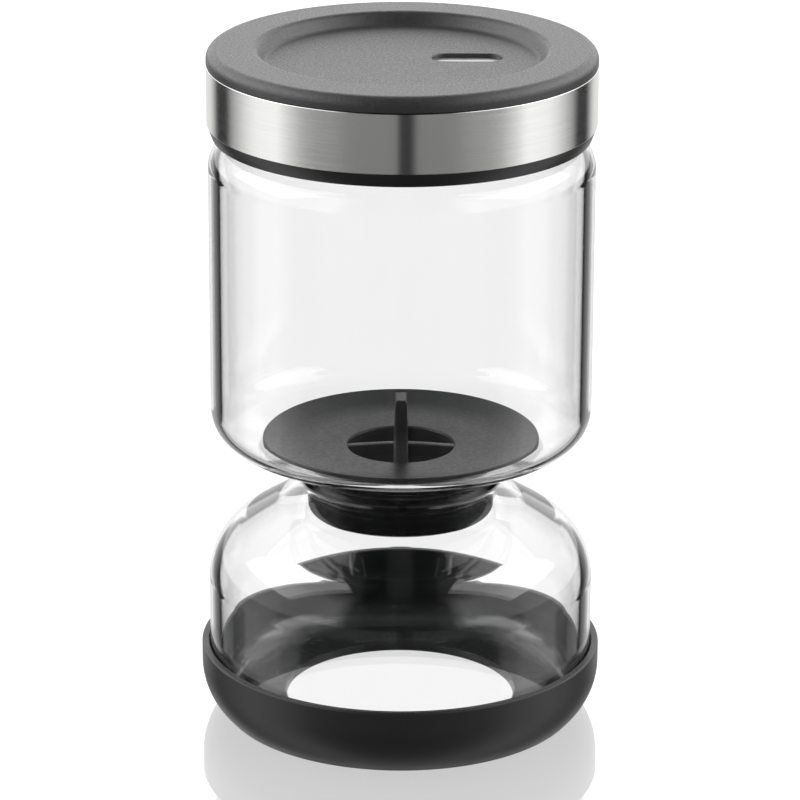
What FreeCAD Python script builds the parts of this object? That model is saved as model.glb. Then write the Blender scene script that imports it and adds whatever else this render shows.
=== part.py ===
import FreeCAD, Part
import math
import os
import re
import Sketcher

# A flip-over pickle keeper: one glass vessel with two chambers joined by a neck, a funnel
# strainer that plugs the neck and lifts out by its centre fin, a soft foot ring and a screw lid.
# Units are millimetres. Z is up, the origin is on the axis where the foot ring stands.
# Each outline below is half a section, as (radius, height, corner round) in named sizes.

SIZES = {
    # foot ring
    "foot_wall": 2.25,
    "foot_height": 20.8,
    "foot_floor": 2.5,
    "foot_opening_radius": 33.4,
    "foot_heel_inset": 6.8,
    "foot_heel_height": 7.5,
    "foot_heel_round": 19.0,
    "foot_heel_edge_round": 2.0,
    "foot_edge_round": 0.6,
    "foot_grip_gap": 0.15,
    # glass vessel, outside
    "lower_radius": 55.85,
    "glass_heel_round": 10.0,
    "lower_wall_height": 49.1,
    "dome_round": 19.5,
    "dome_crown_reach": 7.0,
    "dome_rise": 12.9,
    "dome_crown_round": 15.0,
    "neck_radius": 28.4,
    "neck_flare_rise": 6.3,
    "neck_low_round": 2.4,
    "neck_straight": 0.3,
    "neck_high_round": 3.6,
    "upper_radius": 55.05,
    "funnel_rise": 11.95,
    "funnel_round": 10.3,
    "upper_wall_height": 82.75,
    "shoulder_round": 9.4,
    "shoulder_width": 4.8,
    "shoulder_rise": 3.6,
    "mouth_foot_round": 1.4,
    "mouth_height": 17.35,
    "rim_round": 1.2,
    # glass vessel, thickness
    "glass_floor": 3.6,
    "glass_wall": 3.2,
    "dome_wall": 2.4,
    "neck_wall": 2.0,
    "funnel_wall": 2.6,
    "mouth_wall": 3.0,
    "floor_inner_round": 7.0,
    "neck_lip_round": 2.4,
    "neck_inner_round": 3.2,
    "mouth_inner_round": 3.6,
    # screw thread, the same on the vessel and in the cap
    "thread_lead": 15.0,
    "thread_starts": 3,
    "thread_sweep": 130.0,
    "thread_ridge": 1.3,
    "thread_root_width": 3.0,
    "thread_crest_width": 1.0,
    "thread_root_depth": 0.4,
    "thread_below_rim": 9.0,
    "thread_play": 0.35,
    "thread_radial_gap": 0.5,
    # strainer funnel
    "dish_radius": 40.0,
    "dish_seat_gap": 0.3,
    "dish_edge": 1.5,
    "dish_thickness": 2.0,
    "dish_edge_round": 0.4,
    "dish_seat_width": 2.3,
    "dish_fall": 2.5,
    "dish_fall_width": 11.0,
    "dish_hollow_round": 40.0,
    "drain_radius": 15.3,
    "drain_drop": 0.8,
    "drain_edge_round": 0.8,
    "tube_wall": 2.2,
    "tube_reach": 5.35,
    "tube_flange_thickness": 0.8,
    "bar_width": 2.8,
    "bar_depth": 3.0,
    "bar_arch": 0.8,
    "bar_arch_round": 90.0,
    "cross_bite": 0.9,
    "cross_sink": 0.3,
    "fin_thickness": 3.6,
    "fin_height": 14.6,
    "fin_top_half": 5.3,
    "fin_waist_half": 7.2,
    "fin_waist_height": 2.8,
    "fin_waist_round": 6.0,
    "fin_top_round": 1.4,
    "fin_edge_round": 0.6,
    # silicone seal on the strainer tube
    "seal_thickness": 1.65,
    "seal_rib_height": 0.85,
    "seal_rib_width": 1.5,
    "seal_rib_pitch": 2.5,
    "seal_rib_round": 0.4,
    "seal_neck_gap": 0.3,
    "seal_tube_gap": 0.05,
    "seal_head": 0.35,
    "seal_lip": 1.6,
    "seal_lip_round": 2.2,
    # lid gasket
    "gasket_thickness": 1.5,
    "gasket_gap": 0.3,
    "gasket_overhang": 0.8,
    # screw cap
    "cap_wall": 2.6,
    "cap_depth": 17.85,
    "cap_plate": 2.0,
    "cap_collar_height": 1.1,
    "cap_collar": 2.0,
    "cap_lip_height": 3.95,
    "cap_lip_ledge": 0.4,
    "cap_lip_edge": 1.7,
    "cap_lip_round": 0.6,
    "cap_locator": 1.7,
    "cap_locator_drop": 2.8,
    # steel band
    "band_thickness": 0.6,
    "band_gap": 0.1,
    # lid cover
    "cover_height": 4.45,
    "cover_seam": 0.15,
    "cover_edge_round": 1.9,
    "cover_ring": 2.0,
    "cover_recess_depth": 3.7,
    "cover_rim_width": 14.0,
    "cover_recess_fall": 2.8,
    "cover_recess_round": 0.9,
    "cover_recess_wall": 2.4,
    "cover_spigot": 2.0,
    "cover_spigot_gap": 0.1,
    # plain badge plate, seen through a window in the cover
    "badge_x": 18.3,
    "badge_y": 2.95,
    "badge_window_length": 20.0,
    "badge_window_width": 8.3,
    "badge_margin": 1.9,
    "badge_thickness": 0.6,
    "badge_play": 0.05,
}

PLACES = {
    # radii that follow the two chambers and the neck
    "dome_crown_radius": "neck_radius + dome_crown_reach",
    "mouth_radius": "upper_radius - shoulder_width",
    # heights up the vessel
    "glass_low": "foot_floor",
    "dome_foot": "glass_low + lower_wall_height",
    "dome_crown": "dome_foot + dome_rise",
    "neck_low": "dome_crown + neck_flare_rise",
    "flare_slope": "neck_flare_rise / dome_crown_reach",
    "funnel_slope": "funnel_rise / (upper_radius - neck_radius)",
    "neck_low_reach": "neck_low_round * (sqrt(1 + flare_slope^2) - flare_slope)",
    "neck_high_reach": "neck_high_round * (sqrt(1 + funnel_slope^2) - funnel_slope)",
    "neck_high": "neck_low + neck_low_reach + neck_straight + neck_high_reach",
    "funnel_top": "neck_high + funnel_rise",
    "shoulder_low": "funnel_top + upper_wall_height",
    "mouth_low": "shoulder_low + shoulder_rise",
    "rim_top": "mouth_low + mouth_height",
    # inside of the vessel, offset from the outside by the local thickness
    "floor_top": "glass_low + glass_floor",
    "lower_inner": "lower_radius - glass_wall",
    "upper_inner": "upper_radius - glass_wall",
    "neck_inner": "neck_radius - neck_wall",
    "mouth_inner": "mouth_radius - mouth_wall",
    "dome_slope": "dome_rise / (lower_radius - dome_crown_radius)",
    "dome_foot_inner": "dome_foot + glass_wall * dome_slope - glass_wall * sqrt(1 + dome_slope^2)",
    "dome_crown_inner": "dome_crown - dome_wall * sqrt(1 + dome_slope^2)",
    "neck_low_inner": "neck_low - dome_wall",
    "dome_round_inner": "dome_round - glass_wall",
    "funnel_lift": "funnel_wall * sqrt(1 + funnel_slope^2)",
    "neck_high_inner": "neck_high - neck_wall * funnel_slope + funnel_lift",
    "funnel_top_inner": "funnel_top - glass_wall * funnel_slope + funnel_lift",
    "funnel_round_inner": "funnel_round - glass_wall",
    "shoulder_slope": "shoulder_rise / (upper_radius - mouth_radius)",
    "shoulder_drop": "glass_wall * sqrt(1 + shoulder_slope^2)",
    "shoulder_low_inner": "shoulder_low + glass_wall * shoulder_slope - shoulder_drop",
    "mouth_low_inner": "mouth_low + mouth_wall * shoulder_slope - shoulder_drop",
    "shoulder_round_inner": "shoulder_round - glass_wall",
    # foot ring round the glass heel
    "foot_inner": "lower_radius + foot_grip_gap",
    "foot_radius": "foot_inner + foot_wall",
    "foot_heel_radius": "foot_radius - foot_heel_inset",
    "foot_inner_round": "glass_heel_round + foot_grip_gap",
    # screw thread
    "thread_rise": "thread_lead * thread_sweep / 360",
    "thread_root_half": "thread_root_width / 2",
    "thread_crest_half": "thread_crest_width / 2",
    "thread_crest": "mouth_radius + thread_ridge",
    "thread_root": "mouth_radius - thread_root_depth",
    "thread_mid": "rim_top - thread_below_rim",
    "thread_upper_root": "thread_mid + thread_root_half",
    "thread_upper_crest": "thread_mid + thread_crest_half",
    "thread_lower_crest": "thread_mid - thread_crest_half",
    "thread_lower_root": "thread_mid - thread_root_half",
    # the two ridges overlap in radius by what the radial gap leaves, which sets how far apart they lie
    "thread_flank": "(thread_root_half - thread_crest_half) / thread_ridge",
    "thread_offset": "thread_root_width - (thread_ridge + thread_radial_gap) * thread_flank + thread_play",
    # screw cap
    "cap_inner": "thread_crest + thread_radial_gap",
    "cap_radius": "cap_inner + cap_wall",
    "cap_thread_root": "cap_inner + thread_root_depth",
    "cap_thread_crest": "cap_inner - thread_ridge",
    "cap_thread_mid": "thread_mid - thread_offset",
    "cap_thread_upper_root": "cap_thread_mid + thread_root_half",
    "cap_thread_upper_crest": "cap_thread_mid + thread_crest_half",
    "cap_thread_lower_crest": "cap_thread_mid - thread_crest_half",
    "cap_thread_lower_root": "cap_thread_mid - thread_root_half",
    "gasket_top": "rim_top + gasket_thickness",
    "gasket_radius": "cap_inner - gasket_gap",
    "gasket_inner_radius": "mouth_inner - gasket_overhang",
    "plate_top": "gasket_top + cap_plate",
    "cap_top": "plate_top + cap_collar_height",
    "cap_collar_inner": "cap_radius - cap_collar",
    "cap_low": "gasket_top - cap_depth",
    "cap_ledge": "cap_low + cap_lip_height",
    "cap_ledge_radius": "cap_radius + cap_lip_ledge",
    "cap_ledge_low": "cap_ledge - cap_lip_ledge",
    "cap_lip_radius": "cap_inner + cap_lip_edge",
    "locator_radius": "gasket_inner_radius - gasket_gap",
    "locator_inner": "locator_radius - cap_locator",
    "locator_low": "gasket_top - cap_locator_drop",
    # steel band
    "band_inner": "cap_radius + band_gap",
    "band_radius": "band_inner + band_thickness",
    "band_height": "cap_top - cap_ledge",
    # lid cover
    "cover_low": "cap_top + cover_seam",
    "cover_top": "cap_top + cover_height",
    "cover_ring_low": "cover_top - cover_ring",
    "recess_floor": "cover_top - cover_recess_depth",
    "cover_recess_radius": "band_radius - cover_rim_width",
    "recess_floor_radius": "cover_recess_radius - cover_recess_fall",
    "recess_wall_high": "cover_recess_radius + cover_recess_wall",
    "recess_wall_low": "recess_floor_radius + cover_recess_wall",
    "spigot_radius": "cap_collar_inner - cover_spigot_gap",
    "spigot_inner": "spigot_radius - cover_spigot",
    # badge plate
    "badge_length": "badge_window_length + 2 * badge_margin",
    "badge_width": "badge_window_width + 2 * badge_margin",
    "badge_pocket_length": "badge_length + 2 * badge_play",
    "badge_pocket_width": "badge_width + 2 * badge_play",
    "badge_pocket_depth": "badge_thickness + badge_play",
    # strainer dish, seated on the funnel of the vessel
    "seat_height": "neck_high + (dish_radius - neck_radius) * funnel_slope + funnel_lift",
    "dish_edge_low": "seat_height + dish_seat_gap",
    "dish_top": "dish_edge_low + dish_edge",
    "dish_seat_radius": "dish_radius - dish_seat_width",
    "dish_seat_low": "dish_edge_low - dish_seat_width * funnel_slope",
    "dish_fall_radius": "dish_radius - dish_fall_width",
    "dish_hollow": "dish_top - dish_fall",
    "dish_under": "dish_hollow - dish_thickness",
    "drain_top": "dish_hollow - drain_drop",
    "drain_low": "drain_top - dish_thickness",
    # strainer tube and its seal, which fits the neck of the vessel
    "seal_rib_radius": "neck_inner - seal_neck_gap",
    "seal_radius": "seal_rib_radius - seal_rib_height",
    "seal_inner": "seal_radius - seal_thickness",
    "tube_radius": "seal_inner - seal_tube_gap",
    "tube_inner": "tube_radius - tube_wall",
    "tube_low": "neck_low_inner - tube_reach",
    "seal_low": "tube_low - seal_lip",
    "seal_mid": "(neck_low_inner + neck_high_inner) / 2",
    "low_rib_low": "seal_mid - (seal_rib_pitch + seal_rib_width) / 2",
    "low_rib_high": "low_rib_low + seal_rib_width",
    "high_rib_low": "low_rib_low + seal_rib_pitch",
    "high_rib_high": "high_rib_low + seal_rib_width",
    "seal_top": "high_rib_high + seal_head",
    "flange_top": "seal_top + tube_flange_thickness",
    # cross and lifting fin over the drain
    "cross_reach": "drain_radius + cross_bite",
    "bar_end": "drain_top - cross_sink",
    "bar_crown": "drain_top + bar_arch",
    "bar_low": "drain_top - bar_depth",
    "fin_top": "drain_top + fin_height",
    "fin_waist": "drain_top + fin_waist_height",
}

LINEAR_SLACK = 0.01

doc = FreeCAD.newDocument("pickle_keeper")


def fill_sheet(name, cells):
    """A spreadsheet with one named value a row."""
    sheet = doc.addObject("Spreadsheet::Sheet", name)
    for row, (alias, content) in enumerate(cells.items(), start=1):
        sheet.set(f"A{row}", alias)
        sheet.set(f"B{row}", content)
        sheet.setAlias(f"B{row}", alias)
    return sheet


def formula(text):
    """A formula of the places sheet, with each driving size named in full."""
    return "=" + re.sub(r"[a-z_]+", lambda word: "sizes." * (word[0] in SIZES) + word[0], text)


sizes = fill_sheet("sizes", {alias: str(number) for alias, number in SIZES.items()})
places = fill_sheet("places", {alias: formula(text) for alias, text in PLACES.items()})
doc.recompute()


def bound(name):
    """The expression for a named value; a leading minus mirrors it."""
    plain = name.lstrip("-")
    sign = name[: len(name) - len(plain)]
    return sign + ("sizes." if plain in SIZES else "places.") + plain


def number(name):
    """The named value as it stands now."""
    return float(sizes.evalExpression(bound(name)))


def new_body(name):
    body = doc.addObject("PartDesign::Body", name)
    body.Label = name
    return body


def new_sketch(body, name, role, shift=None):
    """A sketch on one of the body's own planes, shifted by named values."""
    plane = next(feature for feature in body.Origin.OriginFeatures if feature.Role == role)
    sketch = body.newObject("Sketcher::SketchObject", name)
    sketch.AttachmentSupport = (plane, [""])
    sketch.MapMode = "FlatFace"
    for axis, value in (shift or {}).items():
        sketch.setExpression(f"AttachmentOffset.Base.{axis}", bound(value))
    return sketch


def fix_point(sketch, geometry, end, corner):
    """Bind one point of the sketch to its named place."""
    for kind, name, axis in (("DistanceX", corner[0], -2), ("DistanceY", corner[1], -1)):
        if name == "axis":
            sketch.addConstraint(Sketcher.Constraint("PointOnObject", geometry, end, axis))
            continue
        index = sketch.addConstraint(Sketcher.Constraint(kind, -1, 1, geometry, end, number(name)))
        sketch.setExpression(f"Constraints[{index}]", bound(name))


def draw_outline(sketch, corners):
    """A closed outline of lines, with a tangent arc at each corner that names a round."""
    spots = [FreeCAD.Vector(*(0.0 if name == "axis" else number(name) for name in corner[:2]), 0.0)
             for corner in corners]
    count = len(corners)
    ways = [(spots[(i + 1) % count] - spots[i]).normalize() for i in range(count)]
    starts = list(spots)
    stops = [spots[(i + 1) % count] for i in range(count)]
    arcs = {}
    for i, corner in enumerate(corners):
        if len(corner) < 3:
            continue
        before, after, radius = ways[i - 1], ways[i], number(corner[2])
        turn = before.getAngle(after)
        reach = radius * math.tan(turn / 2)
        stops[i - 1] = spots[i] - before * reach
        starts[i] = spots[i] + after * reach
        left = before.cross(after).z > 0
        side = FreeCAD.Vector(-before.y, before.x, 0.0) * (1 if left else -1)
        arcs[i] = (stops[i - 1] + side * radius, radius, left)
    for i, way in enumerate(ways):
        assert (stops[i] - starts[i]).dot(way) > LINEAR_SLACK, f"{sketch.Name}: rounds meet after {corners[i]}"
    lines = [sketch.addGeometry(Part.LineSegment(starts[i], stops[i]), False) for i in range(count)]
    for i, corner in enumerate(corners):
        if i not in arcs:
            sketch.addConstraint(Sketcher.Constraint("Coincident", lines[i - 1], 2, lines[i], 1))
            fix_point(sketch, lines[i], 1, corner)
            continue
        centre, radius, left = arcs[i]
        first, last = (stops[i - 1], starts[i]) if left else (starts[i], stops[i - 1])
        angles = [math.atan2(spot.y - centre.y, spot.x - centre.x) for spot in (first, last)]
        circle = Part.Circle(centre, FreeCAD.Vector(0, 0, 1), radius)
        arc = sketch.addGeometry(Part.ArcOfCircle(circle, *angles), False)
        ends = (1, 2) if left else (2, 1)
        sketch.addConstraint(Sketcher.Constraint("Tangent", lines[i - 1], 2, arc, ends[0]))
        sketch.addConstraint(Sketcher.Constraint("Tangent", arc, ends[1], lines[i], 1))
        index = sketch.addConstraint(Sketcher.Constraint("Radius", arc, radius))
        sketch.setExpression(f"Constraints[{index}]", bound(corner[2]))
        tip = sketch.addGeometry(Part.Point(spots[i]), True)
        sketch.addConstraint(Sketcher.Constraint("PointOnObject", tip, 1, lines[i - 1]))
        sketch.addConstraint(Sketcher.Constraint("PointOnObject", tip, 1, lines[i]))
        fix_point(sketch, tip, 1, corner)


def draw_slot(sketch, length, width):
    """A round-ended slot centred on the sketch's origin, longest along its X."""
    radius = number(width) / 2
    half = number(length) / 2 - radius
    up = FreeCAD.Vector(0, 0, 1)
    right = Part.ArcOfCircle(Part.Circle(FreeCAD.Vector(half, 0, 0), up, radius), -math.pi / 2, math.pi / 2)
    left = Part.ArcOfCircle(Part.Circle(FreeCAD.Vector(-half, 0, 0), up, radius), math.pi / 2, -math.pi / 2)
    top = Part.LineSegment(FreeCAD.Vector(half, radius, 0), FreeCAD.Vector(-half, radius, 0))
    low = Part.LineSegment(FreeCAD.Vector(-half, -radius, 0), FreeCAD.Vector(half, -radius, 0))
    arc_right, line_top, arc_left, line_low = (sketch.addGeometry(item, False)
                                               for item in (right, top, left, low))
    for one, other in ((arc_right, line_top), (line_top, arc_left), (arc_left, line_low), (line_low, arc_right)):
        sketch.addConstraint(Sketcher.Constraint("Tangent", one, 2, other, 1))
    sketch.addConstraint(Sketcher.Constraint("Horizontal", line_top))
    sketch.addConstraint(Sketcher.Constraint("Horizontal", line_low))
    sketch.addConstraint(Sketcher.Constraint("Symmetric", arc_right, 3, arc_left, 3, -1, 1))
    index = sketch.addConstraint(Sketcher.Constraint("Radius", arc_right, radius))
    sketch.setExpression(f"Constraints[{index}]", bound(width) + " / 2")
    index = sketch.addConstraint(Sketcher.Constraint("DistanceX", arc_left, 3, arc_right, 3, 2 * half))
    sketch.setExpression(f"Constraints[{index}]", bound(length) + " - " + bound(width))


def revolve(body, name, corners):
    """Turn half a section about the axis into a solid."""
    sketch = new_sketch(body, name + "_section", "XZ_Plane")
    draw_outline(sketch, corners)
    turned = body.newObject("PartDesign::Revolution", name)
    turned.Profile = sketch
    turned.ReferenceAxis = (sketch, ["V_Axis"])
    turned.Angle = 360.0
    return turned


def pad(body, name, sketch, length, both_sides=False):
    padded = body.newObject("PartDesign::Pad", name)
    padded.Profile = sketch
    padded.Midplane = both_sides
    padded.setExpression("Length", bound(length))
    return padded


def pocket(body, name, sketch, depth, upward):
    """Cut the sketch's outline upward or downward, and check that it cuts."""
    doc.recompute()
    before = body.Shape.Volume
    cut = body.newObject("PartDesign::Pocket", name)
    cut.Profile = sketch
    cut.Reversed = upward
    cut.setExpression("Length", bound(depth))
    doc.recompute()
    assert body.Shape.Volume < before - 1.0, name + " cut nothing"
    return cut


def screw_ridges(body, name, corners):
    """Helical ridges, one for each start of the thread, evenly spaced round the axis."""
    sketch = new_sketch(body, name + "_section", "XZ_Plane")
    draw_outline(sketch, corners)
    ridge = body.newObject("PartDesign::AdditiveHelix", name)
    ridge.Profile = sketch
    ridge.ReferenceAxis = (sketch, ["V_Axis"])
    ridge.Mode = "pitch-height-angle"
    ridge.setExpression("Pitch", bound("thread_lead"))
    ridge.setExpression("Height", bound("thread_rise"))
    doc.recompute()
    pattern = body.newObject("PartDesign::PolarPattern", name + "_starts")
    pattern.Originals = [ridge]
    pattern.Axis = (sketch, ["V_Axis"])
    pattern.Angle = 360.0
    pattern.setExpression("Occurrences", bound("thread_starts"))
    body.Tip = pattern
    return pattern


def round_edges(body, name, radius, above):
    """Round the edges along both sides of the body's last feature, above a named height."""
    doc.recompute()
    base = body.Tip
    floor = number(above)
    names = [f"Edge{i}" for i, edge in enumerate(base.Shape.Edges, start=1)
             if edge.BoundBox.ZMax > floor + LINEAR_SLACK and edge.BoundBox.XLength < LINEAR_SLACK]
    fillet = body.newObject("PartDesign::Fillet", name)
    fillet.Base = (base, names)
    fillet.setExpression("Radius", bound(radius))
    return fillet


def make_foot_ring():
    body = new_body("foot_ring")
    revolve(body, "foot_turned", [
        ("foot_opening_radius", "axis", "foot_edge_round"),
        ("foot_heel_radius", "axis", "foot_heel_edge_round"),
        ("foot_radius", "foot_heel_height", "foot_heel_round"),
        ("foot_radius", "foot_height", "foot_edge_round"),
        ("foot_inner", "foot_height", "foot_edge_round"),
        ("foot_inner", "foot_floor", "foot_inner_round"),
        ("foot_opening_radius", "foot_floor", "foot_edge_round"),
    ])
    return body


def make_glass_jar():
    """Both chambers and the mouth are one blown wall, thinner from the dome to the funnel."""
    body = new_body("glass_jar")
    revolve(body, "glass_blown", [
        ("axis", "glass_low"),
        ("lower_radius", "glass_low", "glass_heel_round"),
        ("lower_radius", "dome_foot", "dome_round"),
        ("dome_crown_radius", "dome_crown", "dome_crown_round"),
        ("neck_radius", "neck_low", "neck_low_round"),
        ("neck_radius", "neck_high", "neck_high_round"),
        ("upper_radius", "funnel_top", "funnel_round"),
        ("upper_radius", "shoulder_low", "shoulder_round"),
        ("mouth_radius", "mouth_low", "mouth_foot_round"),
        ("mouth_radius", "rim_top", "rim_round"),
        ("mouth_inner", "rim_top", "rim_round"),
        ("mouth_inner", "mouth_low_inner", "mouth_inner_round"),
        ("upper_inner", "shoulder_low_inner", "shoulder_round_inner"),
        ("upper_inner", "funnel_top_inner", "funnel_round_inner"),
        ("neck_inner", "neck_high_inner", "neck_inner_round"),
        ("neck_inner", "neck_low_inner", "neck_lip_round"),
        ("dome_crown_radius", "dome_crown_inner", "dome_crown_round"),
        ("lower_inner", "dome_foot_inner", "dome_round_inner"),
        ("lower_inner", "floor_top", "floor_inner_round"),
        ("axis", "floor_top"),
    ])
    screw_ridges(body, "glass_thread", [
        ("thread_root", "thread_lower_root"),
        ("thread_crest", "thread_lower_crest"),
        ("thread_crest", "thread_upper_crest"),
        ("thread_root", "thread_upper_root"),
    ])
    return body


def make_strainer_funnel():
    """A shallow dish with a drain, a tube that goes down the neck, a cross and a lifting fin."""
    body = new_body("strainer_funnel")
    fin = new_sketch(body, "fin_outline", "YZ_Plane")
    draw_outline(fin, [
        ("-cross_reach", "bar_low"),
        ("cross_reach", "bar_low"),
        ("cross_reach", "bar_end"),
        ("fin_waist_half", "fin_waist", "fin_waist_round"),
        ("fin_top_half", "fin_top", "fin_top_round"),
        ("-fin_top_half", "fin_top", "fin_top_round"),
        ("-fin_waist_half", "fin_waist", "fin_waist_round"),
        ("-cross_reach", "bar_end"),
    ])
    pad(body, "lifting_fin", fin, "fin_thickness", both_sides=True)
    round_edges(body, "fin_soft_edges", "fin_edge_round", "bar_end")
    revolve(body, "dish_turned", [
        ("dish_radius", "dish_edge_low"),
        ("dish_radius", "dish_top", "dish_edge_round"),
        ("dish_fall_radius", "dish_hollow", "dish_hollow_round"),
        ("drain_radius", "drain_top", "drain_edge_round"),
        ("drain_radius", "drain_low"),
        ("tube_inner", "drain_low"),
        ("tube_inner", "tube_low"),
        ("tube_radius", "tube_low"),
        ("tube_radius", "seal_top"),
        ("seal_radius", "seal_top"),
        ("seal_radius", "flange_top"),
        ("tube_radius", "flange_top"),
        ("tube_radius", "drain_low"),
        ("dish_fall_radius", "dish_under"),
        ("dish_seat_radius", "dish_seat_low"),
    ])
    bar = new_sketch(body, "bar_outline", "XZ_Plane")
    draw_outline(bar, [
        ("-cross_reach", "bar_low"),
        ("cross_reach", "bar_low"),
        ("cross_reach", "bar_end"),
        ("axis", "bar_crown", "bar_arch_round"),
        ("-cross_reach", "bar_end"),
    ])
    pad(body, "cross_bar", bar, "bar_width", both_sides=True)
    return body


def make_strainer_seal():
    """A silicone sleeve with two sealing ribs in the neck and a lip under the tube."""
    body = new_body("strainer_seal")
    revolve(body, "seal_moulded", [
        ("tube_inner", "seal_low"),
        ("seal_radius", "seal_low", "seal_lip_round"),
        ("seal_radius", "low_rib_low"),
        ("seal_rib_radius", "low_rib_low", "seal_rib_round"),
        ("seal_rib_radius", "low_rib_high", "seal_rib_round"),
        ("seal_radius", "low_rib_high"),
        ("seal_radius", "high_rib_low"),
        ("seal_rib_radius", "high_rib_low", "seal_rib_round"),
        ("seal_rib_radius", "high_rib_high", "seal_rib_round"),
        ("seal_radius", "high_rib_high"),
        ("seal_radius", "seal_top"),
        ("seal_inner", "seal_top"),
        ("seal_inner", "tube_low"),
        ("tube_inner", "tube_low"),
    ])
    return body


def make_lid_gasket():
    """A flat silicone ring between the rim of the vessel and the cap."""
    ring = doc.addObject("Part::Cylinder", "gasket_blank")
    hole = doc.addObject("Part::Cylinder", "gasket_hole")
    for blank, radius in ((ring, "gasket_radius"), (hole, "gasket_inner_radius")):
        blank.setExpression("Radius", bound(radius))
        blank.setExpression("Height", bound("gasket_thickness"))
        blank.setExpression("Placement.Base.z", bound("rim_top"))
    gasket = doc.addObject("Part::Cut", "lid_gasket")
    gasket.Base = ring
    gasket.Tool = hole
    gasket.Label = "lid_gasket"
    return gasket


def make_screw_cap():
    """The threaded inner cap: its lip shows under the band, its collar holds the cover."""
    body = new_body("screw_cap")
    revolve(body, "cap_moulded", [
        ("axis", "gasket_top"),
        ("locator_inner", "gasket_top"),
        ("locator_inner", "locator_low"),
        ("locator_radius", "locator_low"),
        ("locator_radius", "gasket_top"),
        ("cap_inner", "gasket_top"),
        ("cap_inner", "cap_low"),
        ("cap_lip_radius", "cap_low", "cap_lip_round"),
        ("cap_ledge_radius", "cap_ledge_low"),
        ("cap_ledge_radius", "cap_ledge"),
        ("cap_radius", "cap_ledge"),
        ("cap_radius", "cap_top"),
        ("cap_collar_inner", "cap_top"),
        ("cap_collar_inner", "plate_top"),
        ("axis", "plate_top"),
    ])
    screw_ridges(body, "cap_thread", [
        ("cap_thread_root", "cap_thread_lower_root"),
        ("cap_thread_root", "cap_thread_upper_root"),
        ("cap_thread_crest", "cap_thread_upper_crest"),
        ("cap_thread_crest", "cap_thread_lower_crest"),
    ])
    return body


def make_steel_band():
    """Stainless strip rolled into a ring round the cap, from its ledge to the cover."""
    body = new_body("steel_band")
    ring = new_sketch(body, "band_ring", "XY_Plane", {"z": "cap_ledge"})
    for radius in ("band_radius", "band_inner"):
        circle = Part.Circle(FreeCAD.Vector(0, 0, 0), FreeCAD.Vector(0, 0, 1), number(radius))
        drawn = ring.addGeometry(circle, False)
        ring.addConstraint(Sketcher.Constraint("Coincident", drawn, 3, -1, 1))
        index = ring.addConstraint(Sketcher.Constraint("Radius", drawn, number(radius)))
        ring.setExpression(f"Constraints[{index}]", bound(radius))
    pad(body, "band_strip", ring, "band_height")
    return body


def make_lid_cover():
    """The top moulding: a raised rim round a flat recess, with a window for the badge plate."""
    body = new_body("lid_cover")
    revolve(body, "cover_moulded", [
        ("axis", "plate_top"),
        ("recess_wall_low", "plate_top"),
        ("recess_wall_high", "cover_ring_low"),
        ("spigot_inner", "cover_ring_low"),
        ("spigot_inner", "plate_top"),
        ("spigot_radius", "plate_top"),
        ("spigot_radius", "cover_low"),
        ("band_radius", "cover_low"),
        ("band_radius", "cover_top", "cover_edge_round"),
        ("cover_recess_radius", "cover_top", "cover_recess_round"),
        ("recess_floor_radius", "recess_floor", "cover_recess_round"),
        ("axis", "recess_floor"),
    ])
    window = new_sketch(body, "badge_window", "XY_Plane",
                        {"x": "badge_x", "y": "badge_y", "z": "cover_top"})
    draw_slot(window, "badge_window_length", "badge_window_width")
    pocket(body, "badge_window_cut", window, "cover_top", upward=False)
    seat = new_sketch(body, "badge_seat", "XY_Plane",
                      {"x": "badge_x", "y": "badge_y", "z": "plate_top"})
    draw_slot(seat, "badge_pocket_length", "badge_pocket_width")
    pocket(body, "badge_seat_cut", seat, "badge_pocket_depth", upward=True)
    return body


def make_badge_plate():
    """A plain polished plate that lies between the cap and the cover."""
    body = new_body("badge_plate")
    blank = new_sketch(body, "badge_blank", "XY_Plane",
                       {"x": "badge_x", "y": "badge_y", "z": "plate_top"})
    draw_slot(blank, "badge_length", "badge_width")
    pad(body, "badge_strip", blank, "badge_thickness")
    return body


pieces = [
    make_foot_ring(),
    make_glass_jar(),
    make_strainer_funnel(),
    make_strainer_seal(),
    make_lid_gasket(),
    make_screw_cap(),
    make_steel_band(),
    make_lid_cover(),
    make_badge_plate(),
]
doc.recompute()

for item in doc.Objects:
    assert not {"Invalid", "Error"} & set(item.State), item.Name + " failed"
for piece in pieces:
    shape = piece.Shape
    assert not shape.isNull() and shape.isValid(), piece.Label + " is not a valid solid"
    assert len(shape.Solids) == 1, piece.Label + " is not one solid"

os.makedirs("parts", exist_ok=True)
for piece in pieces:
    piece.Shape.exportStep(os.path.join("parts", piece.Label + ".step"))
    print(f"{piece.Label}: {piece.Shape.Volume / 1000:.2f} cm3")
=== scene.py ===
# %% [markdown]
# # A pickle keeper with a strainer that lifts out of its neck
# Two glass chambers are blown as one hourglass. A black funnel strainer plugs the neck between them, so that
# the keeper can be turned over to cover the pickles with brine and turned back to let them drain.
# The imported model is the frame: each piece below stands where its plain twin in that model stands, and rides
# on the same body. The twins are faceted, which glass and polished metal would show, so all are made again
# smooth.
# %% Load the frame
import bpy
import math
from mathutils import Matrix, Vector


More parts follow.
